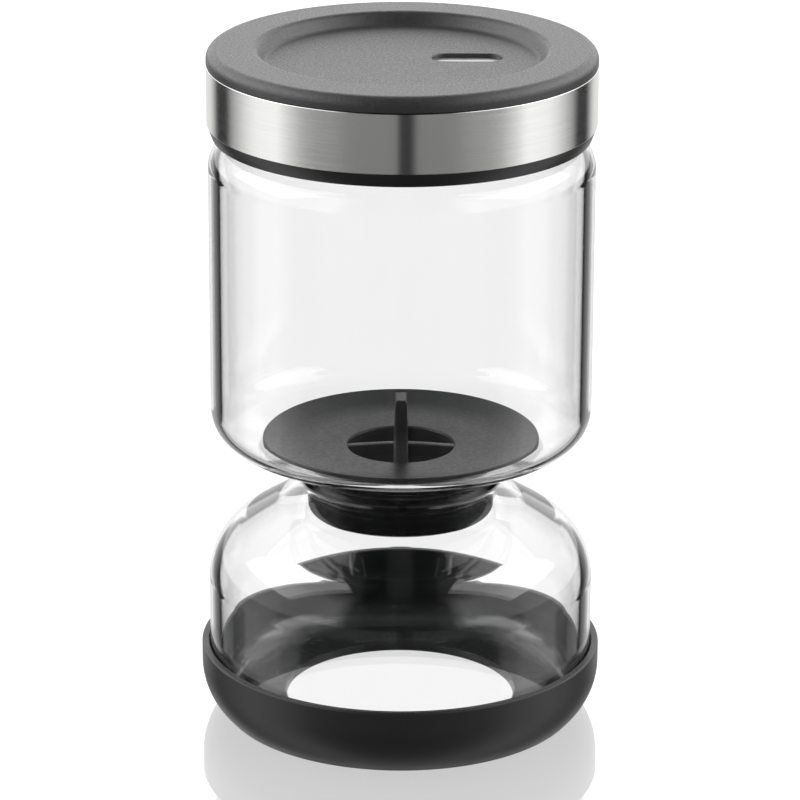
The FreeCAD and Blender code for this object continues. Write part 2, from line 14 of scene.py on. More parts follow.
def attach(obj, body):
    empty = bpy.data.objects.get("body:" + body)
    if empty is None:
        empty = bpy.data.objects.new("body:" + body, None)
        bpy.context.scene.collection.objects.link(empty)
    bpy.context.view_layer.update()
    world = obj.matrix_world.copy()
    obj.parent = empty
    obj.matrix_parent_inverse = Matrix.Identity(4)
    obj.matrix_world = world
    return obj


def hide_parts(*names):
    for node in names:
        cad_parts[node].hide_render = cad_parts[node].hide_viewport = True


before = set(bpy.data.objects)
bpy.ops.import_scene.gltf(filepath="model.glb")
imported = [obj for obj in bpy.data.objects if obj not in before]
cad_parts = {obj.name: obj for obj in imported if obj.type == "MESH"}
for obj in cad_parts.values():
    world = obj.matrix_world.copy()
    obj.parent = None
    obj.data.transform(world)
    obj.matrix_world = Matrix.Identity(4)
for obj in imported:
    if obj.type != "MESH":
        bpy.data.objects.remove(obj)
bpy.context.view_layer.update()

# %% [markdown]
# ## Camera
# It looks a little down on the keeper, so that the lid's recess, the strainer's dish and the drain all show.
# A long lens from over a metre away keeps the tall sides nearly parallel. The place, pitch and focal length
# were found together, by matching rims of known radius and height; the tiny roll levels the rims.
# %% Place the camera
PICTURE_SIDE = 800
FOCAL_PIXELS = 4271.3
CAMERA_PLACE = (-0.0003, -1.16615, 0.49995)
CAMERA_PITCH = 0.33487
CAMERA_ROLL = 0.0037

camera = bpy.data.objects.new("camera", bpy.data.cameras.new("camera"))
bpy.context.scene.collection.objects.link(camera)
camera.data.sensor_width = 36.0
camera.data.lens = FOCAL_PIXELS / PICTURE_SIDE * camera.data.sensor_width
camera.data.clip_start = 0.05
camera.data.clip_end = 50.0
tilt = Matrix.Rotation(math.pi / 2 - CAMERA_PITCH, 4, "X")
camera.matrix_world = Matrix.Translation(CAMERA_PLACE) @ tilt @ Matrix.Rotation(CAMERA_ROLL, 4, "Z")
bpy.context.scene.camera = camera
print("lens", round(camera.data.lens, 1), "mm")

# %% [markdown]
# ## Helpers for materials
# Colours are picked on a screen, as sRGB hex values. The shaders work in linear light, so one function
# turns them. Another adds a node with its settings, its values and its links in one call, and the rest use it
# for a sum, for a ramp of greys and for a new material.
# %% Colour and node helpers


def linear(hex_colour):
    """An sRGB colour such as "#1e1e20" as the linear colour that a shader takes."""
    shares = [int(hex_colour[i:i + 2], 16) / 255 for i in (1, 3, 5)]
    return [s / 12.92 if s <= 0.04045 else ((s + 0.055) / 1.055) ** 2.4 for s in shares] + [1.0]


def add_node(tree, kind, inputs=None, **settings):
    """A new node. An input given as a socket is linked, and any other input is set as its value."""
    node = tree.nodes.new("ShaderNode" + kind)
    for name, setting in settings.items():
        setattr(node, name, setting)
    for name, value in (inputs or {}).items():
        if isinstance(value, bpy.types.NodeSocket):
            tree.links.new(value, node.inputs[name])
        else:
            node.inputs[name].default_value = value
    return node


def compute(tree, operation, *values):
    """What a Math node makes of one to three sockets or numbers."""
    return add_node(tree, "Math", dict(enumerate(values)), operation=operation).outputs[0]


def ramp(tree, factor, stops):
    """A colour ramp through grey stops, given as {place from 0 to 1: hex grey}."""
    node = add_node(tree, "ValToRGB", {"Fac": factor})
    points = node.color_ramp.elements
    while len(points) < len(stops):
        points.new(0.5)
    for point, (place, grey) in zip(points, sorted(stops.items())):
        point.position = place
        point.color = linear(grey)
    return node.outputs["Color"]


def new_material(name):
    """An empty material and its node tree, with an output node."""
    material = bpy.data.materials.new(name)
    material.use_nodes = True
    tree = material.node_tree
    tree.nodes.clear()
    output = add_node(tree, "OutputMaterial")
    return material, tree, output


print("black reads", [round(c, 4) for c in linear("#1e1e20")])

# %% [markdown]
# ## Studio
# Clear glass has no look of its own: it shows the room, bent. A bright white field with dark cards at the
# sides is how a studio draws its edges, and here the world plays that field. The cards stand all round, so
# that every side view gets its edge lines. Light Path tells which ray asks: the camera sees plain white, and
# a diffuse ray an even level. Nothing here depends on where the camera stands.
# %% Directions
DEGREE = math.pi / 180
HALF_TURN = 180

world = bpy.data.worlds.new("white_field_with_cards")
bpy.context.scene.world = world
world.use_nodes = True
world.cycles.sampling_method = "NONE"
tree = world.node_tree
tree.nodes.clear()
direction = add_node(tree, "SeparateXYZ", {0: add_node(tree, "TexCoord").outputs["Generated"]})
toward_front = compute(tree, "MULTIPLY", direction.outputs["Y"], -1.0)
turned_by = compute(tree, "ARCTAN2", direction.outputs["X"], toward_front)
from_front = compute(tree, "ABSOLUTE", turned_by)
height = compute(tree, "ARCSINE", direction.outputs["Z"])
signed_share = compute(tree, "MULTIPLY_ADD", turned_by, 0.5 / math.pi, 0.5)
front_share = compute(tree, "MULTIPLY", from_front, 1 / math.pi)
height_share = compute(tree, "MULTIPLY_ADD", height, 1 / math.pi, 0.5)


def scaled(tree, colour, by):
    """A colour times another colour or times a number."""
    by = by if isinstance(by, bpy.types.NodeSocket) else [by] * 3 + [1.0]
    return add_node(tree, "Mix", {"Factor": 1.0, "A": colour, "B": by},
                    data_type="RGBA", blend_type="MULTIPLY").outputs["Result"]


def choose(tree, factor, no, yes):
    """The second colour where the factor is 1, and the first where it is 0."""
    return add_node(tree, "Mix", {"Factor": factor, "A": no, "B": yes}, data_type="RGBA").outputs["Result"]


# %% [markdown]
# A ray that has passed through glass sees white with dark cards between, and a dark ceiling. One that also
# bounced inside the glass sees the front dim, which keeps the lower chamber from looking fogged.
# %% Field seen through glass
FIELD_WHITE = "#ffffff"
CARD_DARK = "#343434"
CARD_EDGE = 4
CARDS = ((10, 22), (56, 78), (114, 124), (142, 161))

# Each card is dark between two angles (degrees from the front) and fades to white past them.
card_stops = {}
for near, far in CARDS:
    card_stops[(near - CARD_EDGE) / HALF_TURN] = FIELD_WHITE
    card_stops[near / HALF_TURN] = CARD_DARK
    card_stops[far / HALF_TURN] = CARD_DARK
    card_stops[(far + CARD_EDGE) / HALF_TURN] = FIELD_WHITE
lanes = ramp(tree, front_share, card_stops)
ceiling = ramp(tree, height_share, {0.66: "#ffffff", 0.74: "#303030"})
through = scaled(tree, lanes, ceiling)
inner_dim = ramp(tree, front_share, {0.25: "#555555", 0.36: "#8c8c8c", 0.50: "#b2b2b2", 0.76: "#b8b8b8",
                                     0.90: "#ffffff"})
bounced = scaled(tree, through, inner_dim)

# %% [markdown]
# A mirrored ray, as off the steel band, sees a bright belt above the horizon. Below it stand two tall lit
# panels at the sides and a dim front, with a narrow dark slit just beside the middle. The slit keeps its
# place in the room, as a camera's dark body would in front of the keeper.
# %% Panels seen in mirrors
PANEL_LEVEL = 1.2
BELT_LEVEL = 1.9
PANEL_STOPS = {
    0: "#9b9b9b", 40: "#9b9b9b", 49: "#9f9f9f", 59: "#a8a8a8", 69: "#d1d1d1",
    78: "#ffffff", 95: "#f9f9f9", 104: "#e1e1e1", 112: "#bcbcbc", 119: "#959595", 124: "#101010",
    138: "#101010", 143: "#a0a0a0", 151: "#dcdcdc",
}
SLIT_STOPS = {-2.8: "#ffffff", -1.4: "#707070", 5.6: "#707070", 9.0: "#ffffff"}

panels = ramp(tree, front_share, {at / HALF_TURN: grey for at, grey in PANEL_STOPS.items()})
panels = scaled(tree, panels, PANEL_LEVEL)
belt = ramp(tree, height_share, {0.50: "#ffffff", 0.70: "#ffffff", 0.80: "#404040", 1.0: "#303030"})
belt_front = ramp(tree, front_share, {0.17: "#404040", 0.23: "#ffffff"})
belt = scaled(tree, scaled(tree, belt, belt_front), BELT_LEVEL)
table_front = ramp(tree, front_share, {0.28: "#707070", 0.38: "#ffffff"})
near_table = ramp(tree, height_share, {0.37: "#ffffff", 0.42: "#000000"})
panels = choose(tree, near_table, panels, scaled(tree, panels, table_front))
above = ramp(tree, height_share, {0.490: "#000000", 0.505: "#ffffff"})
slit = ramp(tree, signed_share, {at / (2 * HALF_TURN) + 0.5: grey for at, grey in SLIT_STOPS.items()})
mirrored = scaled(tree, choose(tree, above, panels, belt), slit)

# %% [markdown]
# A ray that crosses both walls of a chamber is refracted four times or more. It sees no cards, since one
# right behind the keeper would make the glass look smoked. A ray that runs along a wall is refracted twice
# and bent far: it keeps the cards, which draw the edges. Light Path's count tells them apart from any side.
# %% Which ray asks
EVEN_LEVEL = 0.5
BOTH_WALLS_COUNT = 3.5

asks = add_node(tree, "LightPath").outputs
has_bounced = compute(tree, "GREATER_THAN", asks["Glossy Depth"], 0.5)
both_walls = compute(tree, "GREATER_THAN", asks["Transmission Depth"], BOTH_WALLS_COUNT)
through = choose(tree, both_walls, through, ceiling)
even = [EVEN_LEVEL] * 3 + [1.0]
seen = choose(tree, asks["Is Glossy Ray"], even, mirrored)
seen = choose(tree, asks["Is Transmission Ray"], seen, choose(tree, has_bounced, through, bounced))
seen = choose(tree, asks["Is Diffuse Ray"], seen, even)
seen = choose(tree, asks["Is Camera Ray"], seen, [1.0] * 4)
background = add_node(tree, "Background", {"Color": seen, "Strength": 1.0})
add_node(tree, "OutputWorld", {"Surface": background.outputs[0]})

# %% [markdown]
# Two softboxes hang left and right above the keeper. They give the soft modelling on the black parts and the
# small bright windows where the glass shoulders catch them.
# %% Softboxes
SOFTBOX_SIDE = 0.8
SOFTBOX_REACH = 0.9
SOFTBOX_HEIGHT_ANGLE = 45 * DEGREE
SOFTBOX_TURN = 96 * DEGREE
SOFTBOX_WATTS = 3.8
LOOK_AT = Vector((0.0, 0.0, 0.08))

for side, turn_by in (("left", -SOFTBOX_TURN), ("right", SOFTBOX_TURN)):
    lamp = bpy.data.lights.new("softbox_" + side, "AREA")
    lamp.shape = "RECTANGLE"
    lamp.size = SOFTBOX_SIDE
    lamp.size_y = SOFTBOX_SIDE
    lamp.energy = SOFTBOX_WATTS
    holder = bpy.data.objects.new("softbox_" + side, lamp)
    bpy.context.scene.collection.objects.link(holder)
    flat = math.cos(SOFTBOX_HEIGHT_ANGLE)
    away = Vector((math.sin(turn_by) * flat, -math.cos(turn_by) * flat, math.sin(SOFTBOX_HEIGHT_ANGLE)))
    holder.location = LOOK_AT + away * SOFTBOX_REACH
    holder.rotation_euler = (-away).to_track_quat("-Z", "Y").to_euler()

# %% [markdown]
# The floor is a sheet of glossy white acrylic: it mirrors the foot as a pale double and keeps a faint shadow.
# Mirrored rays and rays through glass pass it, and see the world's own field instead.
# %% Floor
FLOOR_SIDE = 8.0
FLOOR_DROP = 0.0001
FLOOR_BLUR = 0.03
FLOOR_MIRROR = 0.36
FLOOR_SHADED = 0.12

bpy.ops.object.select_all(action="DESELECT")
bpy.ops.mesh.primitive_plane_add(size=FLOOR_SIDE, location=(0, 0, -FLOOR_DROP))
floor = bpy.context.object
floor.name = "floor"
material, tree, output = new_material("glossy_white_acrylic_sheet")
asks = add_node(tree, "LightPath").outputs
glow = add_node(tree, "Emission", {"Color": [1.0] * 4, "Strength": 1.0})
shaded = add_node(tree, "BsdfDiffuse", {"Color": linear("#f2f2f2")})
mirror = add_node(tree, "BsdfGlossy", {"Color": [1.0] * 4, "Roughness": FLOOR_BLUR})
clear = add_node(tree, "BsdfTransparent", {"Color": [1.0] * 4})
lit = add_node(tree, "MixShader", {0: FLOOR_SHADED, 1: glow.outputs[0], 2: shaded.outputs[0]})
lit = add_node(tree, "MixShader", {0: FLOOR_MIRROR, 1: lit.outputs[0], 2: mirror.outputs[0]})
lit = add_node(tree, "MixShader", {0: asks["Is Camera Ray"], 1: shaded.outputs[0], 2: lit.outputs[0]})
passes = compute(tree, "MAXIMUM", asks["Is Glossy Ray"], asks["Is Transmission Ray"])
surface = add_node(tree, "MixShader", {0: passes, 1: lit.outputs[0], 2: clear.outputs[0]})
tree.links.new(surface.outputs[0], output.inputs["Surface"])
floor.data.materials.append(material)

# %% [markdown]
# ## Turning
# Nearly every piece here is round: blown, moulded or spun about one axis. So each is drawn as half a section,
# corner by corner, with each round named, and turned once about Z. The round is drawn as a tangent arc,
# with a point close to each of its ends, so that the smooth shading stays flat on the straight stretches.
# The section starts as a plane merged to a single vertex, which is extruded from point to point.
# %% Section and turning helpers
MM = 0.001
ARC_STEP = 5.0
GUARD = 0.06
TURN_STEPS = 256
MERGE_DISTANCE = 0.001 * MM
SHARP = 32 * DEGREE


def round_corners(corners, closed=True, arc_step=ARC_STEP):
    """The outline's points (radius, height) in mm, with an arc at each corner that has a third value."""
    spots = [Vector(corner[:2]) for corner in corners]
    count = len(spots)
    points = []
    for i, corner in enumerate(corners):
        if len(corner) < 3:
            points.append(spots[i])
            continue
        before = (spots[i] - spots[i - 1]).normalized()
        after = (spots[(i + 1) % count] - spots[i]).normalized()
        turn = before.angle(after)
        side = 1 if before.cross(after) > 0 else -1
        reach = corner[2] * math.tan(turn / 2)
        first = spots[i] - before * reach
        centre = first + Vector((-before.y, before.x)) * side * corner[2]
        steps = max(2, math.ceil(turn / DEGREE / arc_step))
        points.append(first - before * GUARD)
        for k in range(steps + 1):
            points.append(centre + Matrix.Rotation(side * turn * k / steps, 2) @ (first - centre))
        points.append(spots[i] + after * (reach + GUARD))
    if closed:
        points.append(points[0])
    return points


def draw_chain(name, points):
    """A new object, left in edit mode, that holds a chain of edges through the points (metres)."""
    bpy.ops.object.select_all(action="DESELECT")
    bpy.ops.mesh.primitive_plane_add(size=MM, location=(0, 0, 0))
    drawn = bpy.context.object
    drawn.name = name
    drawn.data.name = name
    bpy.ops.object.mode_set(mode="EDIT")
    bpy.ops.mesh.select_mode(type="VERT")
    bpy.ops.mesh.merge(type="CENTER")
    bpy.ops.transform.translate(value=points[0])
    for here, there in zip(points, points[1:]):
        bpy.ops.mesh.extrude_vertices_move(TRANSFORM_OT_translate={"value": there - here})
    bpy.ops.mesh.select_all(action="SELECT")
    bpy.ops.mesh.remove_doubles(threshold=MERGE_DISTANCE)
    return drawn


def finish_mesh():
    """Merges what meets, points the faces outward, leaves edit mode and smooths all but the sharp edges."""
    bpy.ops.mesh.select_all(action="SELECT")
    bpy.ops.mesh.remove_doubles(threshold=MERGE_DISTANCE)
    bpy.ops.mesh.normals_make_consistent(inside=False)
    bpy.ops.object.mode_set(mode="OBJECT")
    bpy.ops.object.shade_smooth_by_angle(angle=SHARP)


def turn_section(name, corners, closed=True, steps=TURN_STEPS, arc_step=ARC_STEP):
    """A solid turned about Z from half a section in mm."""
    points = [Vector((p.x, 0, p.y)) * MM for p in round_corners(corners, closed, arc_step)]
    turned = draw_chain(name, points)
    bpy.ops.mesh.spin(steps=steps, angle=math.tau, center=(0, 0, 0), axis=(0, 0, 1))
    finish_mesh()
    print(name, len(turned.data.vertices), "vertices", len(turned.data.polygons), "faces")
    return turned


def ladder(radius, low, high, rungs):
    """Plain corners up a straight wall, so that it has rows of vertices to move."""
    return [(radius, low + (high - low) * k / rungs) for k in range(rungs + 1)]


def place(piece, body, node, slot, material):
    """Gives a finished piece its material and its body, and hides the plain node it stands for. The slot is
    not used.
    """
    piece.data.materials.clear()
    piece.data.materials.append(material)
    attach(piece, body)
    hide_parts(node)


# %% [markdown]
# ## Screw thread
# The mouth has three ridges, each winding a little over a third of a turn, and the cap has three to match.
# A ridge could be swept along a helix and fused to the wall. Moving the wall's own vertices keeps the glass
# in one closed skin, with no seam to bend the light. So the wall is turned with close rows, and the rows are
# pushed out.
# %% Thread helper
THREAD_LEAD = 15.0
THREAD_STARTS = 3
THREAD_SWEEP = 130.0
THREAD_RIDGE = 1.3
THREAD_FOOT_HALF = 1.26
THREAD_CREST_HALF = 0.5
THREAD_RUN_OUT = 7.0
WALL_MATCH = 0.01


def ridge_height(angle, z, middle):
    """How far the ridge stands out (mm) at an angle (degrees) and a height (mm)."""
    tallest = 0.0
    for start in range(THREAD_STARTS):
        along = (angle - 360 * start / THREAD_STARTS) % 360
        if along > THREAD_SWEEP:
            continue
        off = abs(z - middle - THREAD_LEAD * along / 360)
        flank = (THREAD_FOOT_HALF - off) / (THREAD_FOOT_HALF - THREAD_CREST_HALF)
        ends = min(along, THREAD_SWEEP - along) / THREAD_RUN_OUT
        tallest = max(tallest, THREAD_RIDGE * max(0.0, min(flank, ends, 1.0)))
    return tallest


def raise_thread(piece, radius, middle, outward):
    """Pushes the rows of a wall of that radius out (or in) by the thread's ridges."""
    moved = 0
    for vertex in piece.data.vertices:
        reach = math.hypot(vertex.co.x, vertex.co.y) / MM
        if abs(reach - radius) > WALL_MATCH:
            continue
        angle = math.degrees(math.atan2(vertex.co.y, vertex.co.x))
        height = ridge_height(angle, vertex.co.z / MM, middle)
        if height > 0:
            scale = (reach + height * outward) / reach
            vertex.co.x *= scale
            vertex.co.y *= scale
            moved += 1
    print(piece.name, "thread vertices", moved)


# %% [markdown]
# ## Glass vessel
# Borosilicate tube is heated and blown: a wall near 3 mm, thinner where the neck was drawn in, with soft
# rounds inside and out. Every round bends the light its own way, so inner and outer skin are both drawn, as
# one closed section that starts and ends on the axis.
# %% Glass outline
FOOT_FLOOR = 2.5
LOWER_RADIUS = 55.85
UPPER_RADIUS = 55.05
NECK_RADIUS = 28.4
CROWN_RADIUS = NECK_RADIUS + 7.0
MOUTH_RADIUS = UPPER_RADIUS - 4.8
MOUTH_INNER = MOUTH_RADIUS - 3.0
UPPER_INNER = UPPER_RADIUS - 3.2
LOWER_INNER = LOWER_RADIUS - 3.2
NECK_INNER = NECK_RADIUS - 2.0
DOME_FOOT = 51.6
DOME_CROWN = 64.5
NECK_LOW = 70.8
NECK_HIGH = 74.5
FUNNEL_TOP = 86.45
SHOULDER_LOW = 169.2
MOUTH_LOW = 172.8
RIM_TOP = 190.15
THREAD_MID = RIM_TOP - 9.0
MOUTH_ROWS = 36

glass_corners = [
    (0, FOOT_FLOOR),
    (LOWER_RADIUS, FOOT_FLOOR, 10.0),
    (LOWER_RADIUS, DOME_FOOT, 19.5),
    (CROWN_RADIUS, DOME_CROWN, 15.0),
    (NECK_RADIUS, NECK_LOW, 2.4),
    (NECK_RADIUS, NECK_HIGH, 3.6),
    (UPPER_RADIUS, FUNNEL_TOP, 10.3),
    (UPPER_RADIUS, SHOULDER_LOW, 9.4),
    (MOUTH_RADIUS, MOUTH_LOW, 1.4),
    *ladder(MOUTH_RADIUS, MOUTH_LOW + 1.8, RIM_TOP - 1.6, MOUTH_ROWS),
    (MOUTH_RADIUS, RIM_TOP, 1.2),
    (MOUTH_INNER, RIM_TOP, 1.2),
    (MOUTH_INNER, 171.05, 3.6),
    (UPPER_INNER, 167.6, 6.2),
    (UPPER_INNER, 87.865, 7.1),
    (NECK_INNER, 76.453, 3.2),
    (NECK_INNER, 68.4, 2.4),
    (CROWN_RADIUS, 61.662, 15.0),
    (LOWER_INNER, 48.835, 16.3),
    (LOWER_INNER, 6.1, 7.0),
    (0, 6.1),
]
glass_jar = turn_section("blown_glass_vessel", glass_corners, closed=False, arc_step=4.0)
raise_thread(glass_jar, MOUTH_RADIUS, THREAD_MID, 1)

# %% [markdown]
# The glass is clear and colourless, and nearly lossless at this wall. Rays from lamps and soft rays pass it
# unbent, so that the black parts inside are lit; camera and mirrored rays are bent as in the real one.
# %% Borosilicate glass
GLASS_IOR = 1.474

borosilicate, tree, output = new_material("blown_borosilicate_glass")
asks = add_node(tree, "LightPath").outputs
glass = add_node(tree, "BsdfPrincipled", {
    "Base Color": linear("#ffffff"), "Roughness": 0.0, "IOR": GLASS_IOR, "Transmission Weight": 1.0,
})
open_way = add_node(tree, "BsdfTransparent", {"Color": linear("#f6f8f8")})
unbent = compute(tree, "MAXIMUM", asks["Is Shadow Ray"], asks["Is Diffuse Ray"])
surface = add_node(tree, "MixShader", {0: unbent, 1: glass.outputs[0], 2: open_way.outputs[0]})
tree.links.new(surface.outputs[0], output.inputs["Surface"])
place(glass_jar, "jar", "glass_jar", "clear_glass", borosilicate)

# %% [markdown]
# ## Moulded black parts
# Four black finishes are near each other in colour and differ in skin: the foot is matte silicone, the seal
# satin silicone, the strainer and cap satin polypropylene, and the cover a spark-eroded grain. One builder
# makes them: a fine grain as bump, a slight cloud in the roughness, and the common gloss of a plastic.
# %% Black finishes
SPECKLE = 0.25


def moulded(name, colour, roughness, grain_mm, grain_depth, ior, cloud=0.04, cloud_mm=16.0):
    """A moulded plastic or rubber: its grain's width and depth and its gloss clouds' width are in mm."""
    material, tree, output = new_material(name)
    spot = add_node(tree, "TexCoord").outputs["Object"]
    grain = add_node(tree, "TexNoise", {"Vector": spot, "Scale": 1 / (grain_mm * MM), "Detail": 3.0,
                                        "Roughness": 0.6})
    bump = add_node(tree, "Bump", {"Height": grain.outputs["Fac"], "Strength": 1.0,
                                   "Distance": grain_depth * MM})
    drift = add_node(tree, "TexNoise", {"Vector": spot, "Scale": 1 / (cloud_mm * MM), "Detail": 2.0})
    skin = add_node(tree, "MapRange", {"Value": drift.outputs["Fac"], "From Min": 0.3, "From Max": 0.7,
                                       "To Min": roughness - cloud, "To Max": roughness + cloud})
    dark = linear(colour)
    dim = [c * (1 - SPECKLE) for c in dark[:3]] + [1.0]
    bright = [c * (1 + SPECKLE) for c in dark[:3]] + [1.0]
    speckle = add_node(tree, "Mix", {"Factor": grain.outputs["Fac"], "A": dim, "B": bright}, data_type="RGBA")
    shader = add_node(tree, "BsdfPrincipled", {
        "Base Color": speckle.outputs["Result"], "Roughness": skin.outputs["Result"], "IOR": ior,
        "Normal": bump.outputs["Normal"],
    })
    tree.links.new(shader.outputs[0], output.inputs["Surface"])
    return material


foot_rubber = moulded("matte_moulded_silicone", "#1f1f20", 0.42, 0.5, 0.004, 1.43)
seal_rubber = moulded("satin_moulded_silicone", "#151516", 0.16, 0.6, 0.001, 1.43)
strainer_plastic = moulded("satin_moulded_polypropylene", "#242425", 0.36, 0.45, 0.006, 1.49,
                           cloud=0.08, cloud_mm=1.0)
cap_plastic = moulded("smooth_moulded_polypropylene", "#1c1c1d", 0.34, 0.45, 0.003, 1.49)
cover_plastic = moulded("spark_grained_moulded_plastic", "#2b2b2c", 0.40, 0.55, 0.10, 1.56,
                        cloud=0.11, cloud_mm=0.6)

# %% [markdown]
# ## Foot ring
# A soft ring is stretched on the lower chamber's heel, so that glass never meets the table. Its wall stands
# a hair off the glass, which keeps the glass's own reflections alive inside the ring.
# %% Foot ring
FOOT_HOLE = 33.4
FOOT_INNER = 56.0
FOOT_RADIUS = 58.25
FOOT_TOP = 20.8

foot_ring = turn_section("soft_foot_ring", [
    (FOOT_HOLE, 0, 0.6),
    (51.45, 0, 2.0),
    (FOOT_RADIUS, 7.5, 19.0),
    (FOOT_RADIUS, FOOT_TOP, 0.6),
    (FOOT_INNER, FOOT_TOP, 0.6),
    (FOOT_INNER, FOOT_FLOOR, 10.15),
    (FOOT_HOLE, FOOT_FLOOR, 0.6),
])
place(foot_ring, "jar", "foot_ring", "soft_black_foot", foot_rubber)

# %% [markdown]
# ## Funnel strainer
# The dish slopes down to a drain, and a tube goes on through the neck. Both are turned as one section, with
# the small flange that the seal's top rests under.
# %% Dish and tube
DISH_TOP = 84.351
DRAIN_TOP = 81.051
DRAIN_RADIUS = 15.3
TUBE_RADIUS = 23.55
TUBE_INNER = 21.35
TUBE_LOW = 63.05
SEAL_RADIUS = 25.25
SEAL_TOP = 74.78
FLANGE_TOP = 75.58
DRAIN_LOW = DRAIN_TOP - 2.0
DISH_RADIUS = 40.0
DISH_WAIST = 29.0

strainer = turn_section("funnel_strainer", [
    (DISH_RADIUS, DISH_TOP - 1.5),
    (DISH_RADIUS, DISH_TOP, 0.4),
    (DISH_WAIST, DISH_TOP - 2.5, 40.0),
    (DRAIN_RADIUS, DRAIN_TOP, 0.8),
    (DRAIN_RADIUS, DRAIN_LOW),
    (TUBE_INNER, DRAIN_LOW),
    (TUBE_INNER, TUBE_LOW),
    (TUBE_RADIUS, TUBE_LOW),
    (TUBE_RADIUS, SEAL_TOP),
    (SEAL_RADIUS, SEAL_TOP),
    (SEAL_RADIUS, FLANGE_TOP),
    (TUBE_RADIUS, FLANGE_TOP),
    (TUBE_RADIUS, DRAIN_LOW),
    (DISH_WAIST, DISH_TOP - 4.5),
    (37.7, 81.82),
], steps=192)

# %% [markdown]
# A cross bar spans the drain, and a tall fin stands across it, to lift the whole by. Each is an outline given
# a thickness, the fin with the slight draft that lets it leave its mould. Both are united with the dish.
# %% Bar and fin
CROSS_REACH = 16.2
BAR_LOW = DRAIN_TOP - 3.0
BAR_END = DRAIN_TOP - 0.3
BAR_CROWN = DRAIN_TOP + 0.8
BAR_WIDTH = 2.8
FIN_TOP = DRAIN_TOP + 14.6
FIN_WAIST = DRAIN_TOP + 2.8
FIN_TOP_THICKNESS = 3.2
FIN_FOOT_THICKNESS = 4.2


def select_edges(piece, chosen):
    """Selects the edges of a piece in edit mode whose two ends (mm) pass the test."""
    bpy.ops.object.mode_set(mode="OBJECT")
    ends = piece.data.vertices
    for item in (*piece.data.vertices, *piece.data.edges, *piece.data.polygons):
        item.select = False
    for edge in piece.data.edges:
        edge.select = chosen(*(ends[i].co / MM for i in edge.vertices))
    bpy.ops.object.mode_set(mode="EDIT")
    bpy.ops.mesh.select_mode(type="EDGE")


def thicken_outline(name, outline, to_frame, thickness):
    """A plate: the outline (mm) filled, then extruded by its thickness (mm) along the way it faces."""
    points = [to_frame(p.x, p.y, -thickness / 2) * MM for p in round_corners(outline)]
    plate = draw_chain(name, points)
    bpy.ops.mesh.edge_face_add()
    across = to_frame(0, 0, thickness) * MM
    bpy.ops.mesh.extrude_region_move(TRANSFORM_OT_translate={"value": across})
    bpy.ops.mesh.select_all(action="SELECT")
    bpy.ops.mesh.normals_make_consistent(inside=False)
    return plate


cross_bar = thicken_outline("cross_bar", [
    (-CROSS_REACH, BAR_LOW),
    (CROSS_REACH, BAR_LOW),
    (CROSS_REACH, BAR_END),
    (0, BAR_CROWN, 90.0),
    (-CROSS_REACH, BAR_END),
], lambda u, v, w: Vector((u, w, v)), BAR_WIDTH)
select_edges(cross_bar, lambda a, b: min(a.z, b.z) > BAR_END - 0.2 and abs(a.y - b.y) < 0.01)
bpy.ops.mesh.bevel(offset=0.35 * MM, segments=3, affect="EDGES")
finish_mesh()

lifting_fin = thicken_outline("lifting_fin", [
    (-CROSS_REACH, BAR_LOW),
    (CROSS_REACH, BAR_LOW),
    (CROSS_REACH, BAR_END),
    (7.2, FIN_WAIST, 6.0),
    (5.3, FIN_TOP, 1.4),
    (-5.3, FIN_TOP, 1.4),
    (-7.2, FIN_WAIST, 6.0),
    (-CROSS_REACH, BAR_END),
], lambda u, v, w: Vector((w, u, v)), 1.0)
bpy.ops.object.mode_set(mode="OBJECT")
for vertex in lifting_fin.data.vertices:
    share = max(0.0, (FIN_TOP - vertex.co.z / MM) / (FIN_TOP - BAR_END))
    vertex.co.x *= FIN_TOP_THICKNESS + (FIN_FOOT_THICKNESS - FIN_TOP_THICKNESS) * min(1.0, share)
bpy.ops.object.mode_set(mode="EDIT")
select_edges(lifting_fin, lambda a, b: min(a.z, b.z) > BAR_END - 0.2 and abs(a.x - b.x) < 0.4)
bpy.ops.mesh.bevel(offset=0.5 * MM, segments=4, affect="EDGES")
finish_mesh()


def combine(piece, tool, operation):
    """Unites the tool with a piece, or cuts it out, and deletes the tool."""
    bpy.ops.object.select_all(action="DESELECT")
    bpy.context.view_layer.objects.active = piece
    piece.select_set(True)
    step = piece.modifiers.new(tool.name, "BOOLEAN")
    step.operation = operation
    step.object = tool
    step.solver = "EXACT"
    bpy.ops.object.modifier_apply(modifier=step.name)
    bpy.data.objects.remove(tool)
    bpy.ops.object.mode_set(mode="EDIT")
    finish_mesh()


combine(strainer, cross_bar, "UNION")
combine(strainer, lifting_fin, "UNION")
print("strainer faces", len(strainer.data.polygons))
place(strainer, "strainer", "strainer_funnel", "black_strainer", strainer_plastic)

# %% [markdown]
# ## Strainer seal
# A silicone sleeve with two ribs closes the neck. Squeezed against the glass it has no air between, so
# black fills the neck to its very edge. The ribs therefore reach a touch into the glass's inner skin, and the
# sleeve below them stands a quarter of a millimetre off it.
# %% Strainer seal
SEAL_LOW = 60.75
SLEEVE_RADIUS = NECK_INNER - 0.25
RIB_RADIUS = NECK_INNER + 0.02
SLEEVE_INNER = TUBE_RADIUS + 0.05

